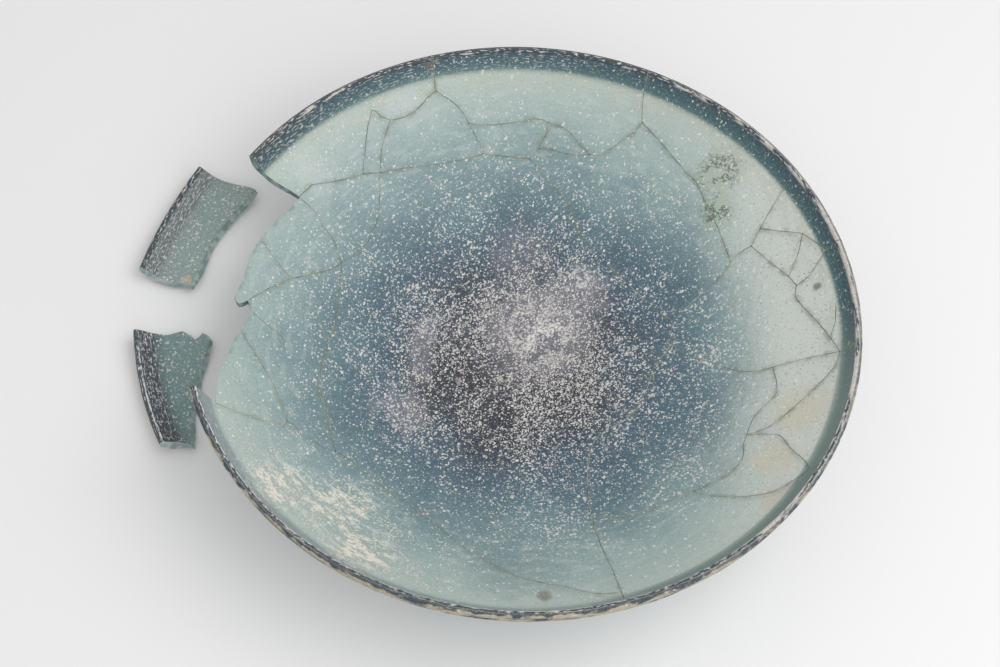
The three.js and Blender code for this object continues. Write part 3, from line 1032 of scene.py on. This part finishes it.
def with_soiled_lip(tree, at, colour, more_crust):
    """Dark and pale dirt on the lip, in short dashes along the rim, a painted highlight along the
    front of the crest, and soil outside it.
    """
    def past_lip_start(start, end):
        return soft_step(tree, at["from_axis"], lip_start + start * MM, lip_start + end * MM)

    dark = over(tree, at["grain"], paint(38, 50, 60), paint(84, 96, 102))
    pale = over(tree, at["grain"], paint(152, 149, 149), paint(231, 226, 217))
    soil = over(tree, at["grain"], paint(136, 128, 108), paint(202, 191, 166))
    on_collar = ring(tree, at, 123.5, 126.5)
    if more_crust:
        far_left = scaled(tree, soft_step(tree, at["upward"], 10 * MM, 30 * MM), 0.7, 0.3)
    else:
        far_left = spots(tree, at, (126, 142, 26))
        at_left = soft_step(tree, at["across"], 60 * MM, 10 * MM)
        tone = over(tree, at_left, paint(132, 151, 143), paint(188, 198, 194))
        colour = lay(tree, colour, tone, at["front"], ring(tree, at, 122, 123.6),
                     scaled(tree, at_left, -0.4, 0.85))
    at_right = product(tree, soft_step(tree, at["across"], 10 * MM, 90 * MM), 0.2)
    dusty = calculate(tree, "ADD", scaled(tree, far_left, -0.04, 0.59), at_right)
    dashes = soft_step(tree, at["dashes"], dusty, calculate(tree, "ADD", dusty, 0.07))
    colour = lay(tree, colour, paint(58, 74, 86), on_collar, far_left, 0.5)
    colour = lay(tree, colour, pale, on_collar, dashes, 0.8)
    light_lip = soft_step(tree, at["across"], 40 * MM, 100 * MM)
    worn = soft_step(tree, scaled(tree, light_lip, 0.16, at["streaks"]), 0.58, 0.68)
    crest = over(tree, soft_step(tree, at["dashes"], 0.56, 0.64), dark, pale)
    crest = over(tree, worn, crest, pale)
    # Painted highlight: a thin broken pale line just inside the crest at the front.
    glint = product(tree, at["front"], past_lip_start(0.6, 0.8), past_lip_start(1.6, 1.3),
                    soft_step(tree, at["dashes"], 0.4, 0.5))
    crest = over(tree, glint, crest, paint(222, 220, 220))
    on_lip = past_lip_start(0, 0.3)
    colour = over(tree, on_lip, colour, crest)
    colour = lay(tree, colour, dark, on_lip, past_lip_start(0.9, 0.4), 0.6)
    patchy = scaled(tree, at["wobble"], 0.4, at["streaks"])
    face = over(tree, soft_step(tree, patchy, 0.82, 0.62), dark, soil)
    face = over(tree, soft_step(tree, at["dashes"], 0.6, 0.68), face, pale)
    ragged = scaled(tree, at["wobble"], 3 * MM, at["from_axis"])
    near_crest = soft_step(tree, ragged, sheet_radius + 0.4 * MM, sheet_radius + 0.8 * MM)
    face = lay(tree, face, dark, near_crest, scaled(tree, light_lip, -0.4, 1.0))
    on_face = product(tree, at["under"], soft_step(tree, ragged, 124 * MM, 127.5 * MM))
    return over(tree, on_face, colour, face), strongest(tree, on_lip, on_face)


# %% [markdown]
# ## The weathered glass
#
# One function puts the layers together, from the body of the glass up to the dirt, for the
# bowl and for the loose sherds. Crust and dirt are rough and hide what is under them. The
# bare wall is smoother and lets a little light through, by alpha and not by transmission,
# because old glass scatters light, and because alpha renders quickly and exports well.

# %% Put the weathered glass together
def weathered_glass(name, zones, clearness, more_crust=0.0):
    material, tree, shader = new_finish(name)
    at = readings(tree)
    share_out = calculate(tree, "DIVIDE", at["from_axis"], rim_radius)
    drift = product(tree, scaled(tree, at["slow"], 0.2, -0.1),
                    soft_step(tree, share_out, 0.92, 0.82))
    rough_border = scaled(tree, at["dashes"], 0.012, -0.006)
    zone = calculate(tree, "ADD", share_out, calculate(tree, "ADD", drift, rough_border))
    colour = ramp(tree, zone, zones)
    if more_crust:
        upper = soft_step(tree, at["upward"], 10 * MM, 30 * MM)
        colour = lay(tree, colour, paint(164, 178, 172), upper, 0.5)
        rust = spots(tree, at, (140.7, 167.4, 3.4))
        rusty_grains = soft_step(tree, at["grain"], 0.34, 0.5)
        colour = lay(tree, colour, paint(214, 184, 150), rust, rusty_grains, 0.8)
    else:
        colour = with_film(tree, at, in_patches(tree, at, colour))
    colour = with_break_stains(tree, at, colour)
    dark_grains = soft_step(tree, at["grain"], 0.45, 0.8)
    pale_grains = soft_step(tree, at["grain"], 0.5, 0.2)
    colour = lay(tree, colour, paint(40, 56, 62), dark_grains, 0.16)
    colour = lay(tree, colour, paint(214, 220, 216), pale_grains, 0.2)
    colour, white = with_specks(tree, at, zone, colour, more_crust)
    colour, crusted = with_soiled_lip(tree, at, colour, more_crust)
    tree.links.new(colour, shader.inputs["Base Color"])
    solid = strongest(tree, white, crusted)
    see_through = product(tree, ramp(tree, share_out, clearness), remaining(tree, solid))
    tree.links.new(remaining(tree, see_through), shader.inputs["Alpha"])
    rough = scaled(tree, at["wobble"], 0.2, scaled(tree, solid, 0.35, 0.32))
    tree.links.new(rough, shader.inputs["Roughness"])
    add_grains(tree, shader, at["grain"], 0.3)
    return material


bowl_glass = weathered_glass("weathered_bowl_glass", bowl_zones, bowl_clearness)
loose_glass = weathered_glass("weathered_loose_glass", loose_zones, loose_clearness, more_crust=1.0)


# %% [markdown]
# ## Broken edges, glue and crust
#
# A fresh break is clean glass, greener than the weathered faces. Old glue is grey-brown and
# dull. Crust is chalky. Each is one rough finish that drifts between two tones, with fine
# grains as bump, because these pieces are only a millimetre or two wide.

# %% Make the plainer finishes
def two_tone(name, size, first, second, roughness):
    """A rough finish whose colour drifts between two tones over the given size."""
    material, tree, shader = new_finish(name)
    place = add(tree, "ShaderNodeTexCoord").outputs["Object"]
    tone = soft_step(tree, cloud(tree, place, size, 3.0), 0.4, 0.62)
    tree.links.new(over(tree, tone, first, second), shader.inputs["Base Color"])
    shader.inputs["Roughness"].default_value = roughness
    add_grains(tree, shader, cloud(tree, place, 0.5 * MM, 1.0), 0.4)
    return material


broken_glass = two_tone(
    "broken_edge", 3 * MM, paint(84, 108, 110), paint(140, 158, 154), roughness=0.28)
loose_broken_glass = two_tone(
    "loose_broken_edge", 3 * MM, paint(124, 146, 144), paint(168, 184, 180), roughness=0.28)
glue_finish = two_tone(
    "old_glue", 5 * MM, paint(116, 128, 118), paint(168, 168, 148), roughness=0.4)
crack_finish = two_tone(
    "crack_in_glass", 3 * MM, paint(84, 104, 104), paint(120, 140, 138), roughness=0.4)
crust_finish = two_tone(
    "pale_crust", 0.7 * MM, paint(188, 182, 176), paint(240, 236, 228), roughness=0.85)

# %% [markdown]
# ## All the sherds
#
# Every outline is filled, closed and bent, and the sherd is laid where its solid lies. A sherd
# replaces its solid, because the finish needs fine triangles and the sheet's own measures. The
# loose ones are set down so that their lowest point touches the table.

# %% Make every sherd
face_waves = 0.25 * MM
on_section = {"inner_line": inner_curve, "outer_line": outer_curve, "waves": face_waves}
sherds = {}
for node, outline in outlines.items():
    name = "fine_" + node
    is_loose = node in loose_places
    sherd = grown(
        name, closed_sheet(name, *filled(outline)), sherd_tree, **on_section,
        glass=loose_glass if is_loose else bowl_glass,
        broken_edge=loose_broken_glass if is_loose else broken_glass,
    )
    sherd.data.transform(rest_of_sherd(node))
    if is_loose:
        lowest = min(vertex.co.z for vertex in sherd.data.vertices)
        leftmost = min(vertex.co.x for vertex in sherd.data.vertices)
        inwards = max(0.0, cad_box[0][0] - leftmost)
        sherd.data.transform(Matrix.Translation((inwards, 0, -lowest)))
    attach(sherd, "root")
    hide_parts(node)
    sherds[node] = sherd
print("triangles in all sherds:", sum(
    len(face.vertices) - 2 for sherd in sherds.values() for face in sherd.data.polygons))

# %% [markdown]
# ## Glue in the breaks
#
# Between two sherds the mender's glue stands a little proud on both faces, as a thin
# brownish bead with thicker and thinner places. Its line runs midway between the outlines of
# the neighbours, so the outlines themselves give it. Two short cracks that don't go through
# are made with the same tree, from a few points each, on the inner face only.


# %% Find the middle lines between neighbours
widest_break = 0.7 * MM
longest_glue_step = 2 * MM


def nearest_neighbours():
    """Halfway from each outline point to the nearest one on another glued sherd."""
    glued = [node for node in outlines if node not in loose_places]
    found = {}
    for node in glued:
        others = [(other, point) for other in glued if other != node for point in outlines[other]]
        tree = search_tree([point for other, point in others])
        for i, (x, y) in enumerate(outlines[node]):
            place, index, distance = tree.find((x, y, 0))
            if distance < widest_break and glued.index(others[index][0]) > glued.index(node):
                found[node, i] = np.array([(x + place[0]) / 2, (y + place[1]) / 2])
    return found


def glue_lines():
    """The middles, and an edge from each to the next one along the same break."""
    middles = nearest_neighbours()
    points, edges = [], []
    for node, outline in outlines.items():
        along_break = False
        for i in [*range(len(outline)), 0]:
            if (node, i) not in middles:
                along_break = False
                continue
            points.append(middles[node, i])
            if along_break and np.linalg.norm(points[-1] - points[-2]) < longest_glue_step:
                edges.append((len(points) - 2, len(points) - 1))
            along_break = True
    return np.array(points), edges


glue_points, glue_edges = glue_lines()
print("glue points:", len(glue_points))


# %% Lay lines or faces of the sheet onto the glass
def laid_on_glass(name, points, edges=(), faces=(), sides=(0, 1)):
    """A mesh on the sheet, once for each face of the glass: 0 is the inner, 1 the outer."""
    count = len(points)
    everywhere = np.vstack([points] * len(sides))
    mesh = bpy.data.meshes.new(name)
    mesh.from_pydata(
        [(x, y, 0) for x, y in everywhere],
        [(a + k * count, b + k * count) for k in range(len(sides)) for a, b in edges], faces)
    store_places(mesh, everywhere, np.repeat(np.array(sides, float), count))
    return mesh


# %% Build the tree that runs a bead along lines
beads_per_metre = 140.0
bead_tree, given = geometry_tree(
    "bead_along_lines", **section_inputs, thickness="Float", material="Material")
bead_line = add(
    bead_tree, "GeometryNodeMeshToCurve",
    {"Mesh": bent_by_group(bead_tree, given, given["Geometry"])})
bead_noise = add(
    bead_tree, "ShaderNodeTexNoise",
    {"Vector": add(bead_tree, "GeometryNodeInputPosition").outputs[0],
     "Scale": beads_per_metre, "Detail": 3.0})
bead_size = calculate(
    bead_tree, "MULTIPLY", given["Thickness"], scaled(bead_tree, bead_noise.outputs[0], 1.8, 0.1))
round_profile = add(
    bead_tree, "GeometryNodeCurvePrimitiveCircle", {"Resolution": 6, "Radius": 1.0})
bead = add(
    bead_tree, "GeometryNodeCurveToMesh",
    {"Curve": bead_line.outputs["Curve"], "Profile Curve": round_profile.outputs["Curve"],
     "Scale": bead_size, "Fill Caps": True})
give_out(bead_tree, finished(bead_tree, bead.outputs["Mesh"], given["Material"]))


# %% Make the glue and the two cracks that don't go through
def kept_on_bowl(piece):
    """Set a piece round the bowl's axis, no higher than the lip, and attach it to the root body."""
    piece.data.transform(Matrix.Translation(bowl_axis))
    for vertex in piece.data.vertices:
        vertex.co.z = min(vertex.co.z, bowl_height)
    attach(piece, "root")
    print(piece.name, "faces:", len(piece.data.polygons))


glue_thickness, crack_thickness = 0.14 * MM, 0.12 * MM
glue = grown(
    "glue_in_the_breaks", laid_on_glass("glue_in_the_breaks", glue_points, glue_edges),
    bead_tree, **on_section, thickness=glue_thickness, material=glue_finish)
kept_on_bowl(glue)

# Each point is given as mm from the axis and degrees.
crack_paths = [
    [(106, 178.8), (102, 180.2), (97, 181.9), (93, 183.4)],
    [(123, 5.1), (122, 2), (120, 359.6), (120, 358.1)],
]
crack_points, crack_edges = [], []
for path in crack_paths:
    first = len(crack_points)
    crack_points += [(radius * MM, math.radians(turn)) for radius, turn in path]
    crack_edges += [(first + i, first + i + 1) for i in range(len(path) - 1)]
cracks = grown(
    "cracks_in_the_wall",
    laid_on_glass("cracks_in_the_wall", on_sheet(crack_points), crack_edges, sides=(0,)),
    bead_tree, **on_section, thickness=crack_thickness, material=crack_finish)
kept_on_bowl(cracks)

# %% [markdown]
# ## Crust that stands proud
#
# In the middle of the bowl, and in streaks near the front left of the rim, the crust is thick
# enough to feel. Painted specks have no edge there, so a few thousand small flat flakes lie on
# the glass as well. Each is a squashed sphere of twenty faces, and a noise gathers them. One
# grey lump is larger than the rest: it is a dented ball, pressed flat onto the floor.


# %% Lay out where the flakes can lie
def sector(inner, outer, first, last):
    """The outline of a piece of a ring on the sheet, in mm and degrees."""
    turns = np.radians(np.linspace(first, last, 60))
    outside = [(outer * MM, turn) for turn in turns]
    inside_edge = [(inner * MM, turn) for turn in turns[::-1]]
    return on_sheet(outside + inside_edge)


flaky_middle = 58 * MM
full_turn = np.linspace(0, 2 * math.pi, 150)[:-1]
middle_outline = on_sheet([(flaky_middle, turn) for turn in full_turn])
streaks_outline = sector(94, 121, 208, 256)
flake_places, flake_faces = [], []
for outline in (middle_outline, streaks_outline):
    flat, triangles = filled(outline)
    flake_faces += (triangles + sum(len(places) for places in flake_places)).tolist()
    flake_places.append(flat)

# %% Build the tree that scatters flakes
clusters_per_metre = 110.0
smallest_flake, largest_flake = 0.45, 1.3
flake_width, flake_height = 0.75, 0.35
flake_tree, given = geometry_tree(
    "flakes_of_crust", **section_inputs,
    flakes_per_area="Float", flake_radius="Float", seed="Int", material="Material")
ground = bent_by_group(flake_tree, given, given["Geometry"])
flake_place = add(flake_tree, "GeometryNodeInputPosition").outputs[0]
gathered = add(flake_tree, "ShaderNodeTexNoise",
               {"Vector": flake_place, "Scale": clusters_per_metre, "Detail": 3.0}).outputs[0]
from_axis = attribute(flake_tree, "from_axis")
in_streaks = calculate(flake_tree, "GREATER_THAN", from_axis, 80 * MM)
thinning = strongest(flake_tree, soft_step(flake_tree, from_axis, 62 * MM, 20 * MM), in_streaks)
density = product(flake_tree, given["Flakes per area"], thinning,
                  soft_step(flake_tree, gathered, 0.44, 0.64))
scattered = add(flake_tree, "GeometryNodeDistributePointsOnFaces",
                {"Mesh": ground, "Density": density, "Seed": given["Seed"]})
sizes = add(flake_tree, "FunctionNodeRandomValue",
            {2: smallest_flake, 3: largest_flake, "Seed": given["Seed"]}, data_type="FLOAT")
radius = calculate(flake_tree, "MULTIPLY", sizes.outputs[1], given["Flake radius"])
scale = add(flake_tree, "ShaderNodeCombineXYZ",
            {"X": radius, "Y": calculate(flake_tree, "MULTIPLY", radius, flake_width),
             "Z": calculate(flake_tree, "MULTIPLY", radius, flake_height)})
ball = add(flake_tree, "GeometryNodeMeshIcoSphere", {"Radius": 1.0, "Subdivisions": 1})
flakes_placed = add(
    flake_tree, "GeometryNodeInstanceOnPoints",
    {"Points": scattered.outputs["Points"], "Instance": ball.outputs["Mesh"],
     "Rotation": scattered.outputs["Rotation"], "Scale": scale.outputs[0]})
give_out(flake_tree, finished(
    flake_tree, flakes_placed.outputs["Instances"], given["Material"]))

# %% Make the flakes and one lump of crust
flakes = grown(
    "flakes_of_crust",
    laid_on_glass("flakes_of_crust", np.vstack(flake_places), faces=flake_faces, sides=(0,)),
    flake_tree, **on_section, flakes_per_area=900000.0, flake_radius=0.34 * MM, seed=4,
    material=crust_finish)
kept_on_bowl(flakes)

lump_half_sizes = (1.0, 1.9, 0.6)
dent_depth, dents_across = 0.25, 1.6
lump_radius, lump_turn = 26.7 * MM, math.radians(205.8)
lump_place = Vector((lump_radius * math.cos(lump_turn), lump_radius * math.sin(lump_turn),
                     inner_height(lump_radius) + 0.2 * MM))
lump_shape = bmesh.new()
bmesh.ops.create_icosphere(lump_shape, subdivisions=3, radius=1.0)
for vertex in lump_shape.verts:
    vertex.co *= 1 + dent_depth * noise.noise(vertex.co * dents_across)
    vertex.co = Vector([half * along for half, along in zip(lump_half_sizes, vertex.co)]) * MM
lump_mesh = bpy.data.meshes.new("lump_of_crust")
lump_shape.to_mesh(lump_mesh)
lump_shape.free()
lump_mesh.materials.append(two_tone(
    "grey_crust", 1.2 * MM, paint(120, 122, 126), paint(160, 158, 156), roughness=0.7))
lump_mesh.shade_smooth()
lump = placed("lump_of_crust", lump_mesh)
lump_mesh.transform(
    Matrix.Translation(lump_place) @ Matrix.Rotation(math.radians(20), 4, "Z"))
kept_on_bowl(lump)

# %% [markdown]
# ## The table
#
# The bowl was photographed on plain white paper. A flat sheet a few metres wide, a little
# darker than white, keeps its soft shadows readable. It isn't attached to the bowl's body, so
# it isn't part of the object.

# %% Lay the paper
floor_reach = 3.0
paper_colour = (0.84, 0.84, 0.845, 1)
floor_corners = [(x * floor_reach, y * floor_reach, 0)
                 for x, y in ((-1, -1), (1, -1), (1, 1), (-1, 1))]
floor_mesh = bpy.data.meshes.new("floor")
floor_mesh.from_pydata(floor_corners, [], [(0, 1, 2, 3)])
floor = placed("floor", floor_mesh)
paper, tree, shader = new_finish("white_paper")
shader.inputs["Base Color"].default_value = paper_colour
shader.inputs["Roughness"].default_value = 0.9
floor.data.materials.append(paper)

# %% [markdown]
# ## The light
#
# The light in the photo is large and soft: an even bright room, a wide lamp on the right, and
# a weaker one in front. The shadows lie to the left and below the rim. The standard view
# transform keeps the pale paper and the dark middle as far apart as they really look.

# %% Set up the soft light
room_colour = (1, 0.995, 0.997, 1)
room_strength = 0.67
world = bpy.data.worlds.new("studio")
world.use_nodes = True
room = world.node_tree.nodes["Background"].inputs
room["Color"].default_value = room_colour
room["Strength"].default_value = room_strength
bpy.context.scene.world = world
bpy.context.scene.view_settings.view_transform = "Standard"


def soft_light(name, place, target, size, power):
    """A round lamp at a place, turned towards a target."""
    light = bpy.data.lights.new(name, "AREA")
    light.shape = "DISK"
    light.size = size
    light.energy = power
    made = placed(name, light)
    made.location = place
    direction = Vector(target) - Vector(place)
    made.rotation_euler = direction.to_track_quat("-Z", "Y").to_euler()


soft_light("key", place=(0.75, -0.05, 1.0), target=(0.05, 0, 0), size=1.1, power=5.4)
soft_light("fill", place=(0.45, -0.85, 0.75), target=(0, 0, 0), size=1.1, power=4)

# %% [markdown]
# ## The camera
#
# The camera looks down at about 57 degrees from in front, slightly rolled. Its distance and
# angles were fitted to the outline of the lip and to where the breaks meet it. The aim is a
# point at the height of the lip, named as a shift from the bowl's axis.

# %% Place the camera
camera_lens, camera_sensor = 65, 36
camera_distance = 682.8 * MM
camera_elevation = math.radians(57.34)
camera_roll = math.radians(2.74)
aim = bowl_axis + Vector((-8.22 * MM, -14.65 * MM, bowl_height))

forward = Vector((0, math.cos(camera_elevation), -math.sin(camera_elevation)))
level_right = Vector((1, 0, 0))
level_up = level_right.cross(forward)
right = math.cos(camera_roll) * level_right + math.sin(camera_roll) * level_up
up = math.cos(camera_roll) * level_up - math.sin(camera_roll) * level_right
camera = placed("camera", bpy.data.cameras.new("camera"))
camera.data.lens = camera_lens
camera.data.sensor_width = camera_sensor
turn = Matrix((right, up, -forward)).transposed().to_4x4()
camera.matrix_world = Matrix.Translation(aim - camera_distance * forward) @ turn
bpy.context.scene.camera = camera

# %% [markdown]
# ## Putting away the tools
#
# The section curves were only tools, so they go.

# %% Put away the section curves
for curve in (inner_curve, outer_curve):
    bpy.data.objects.remove(curve)
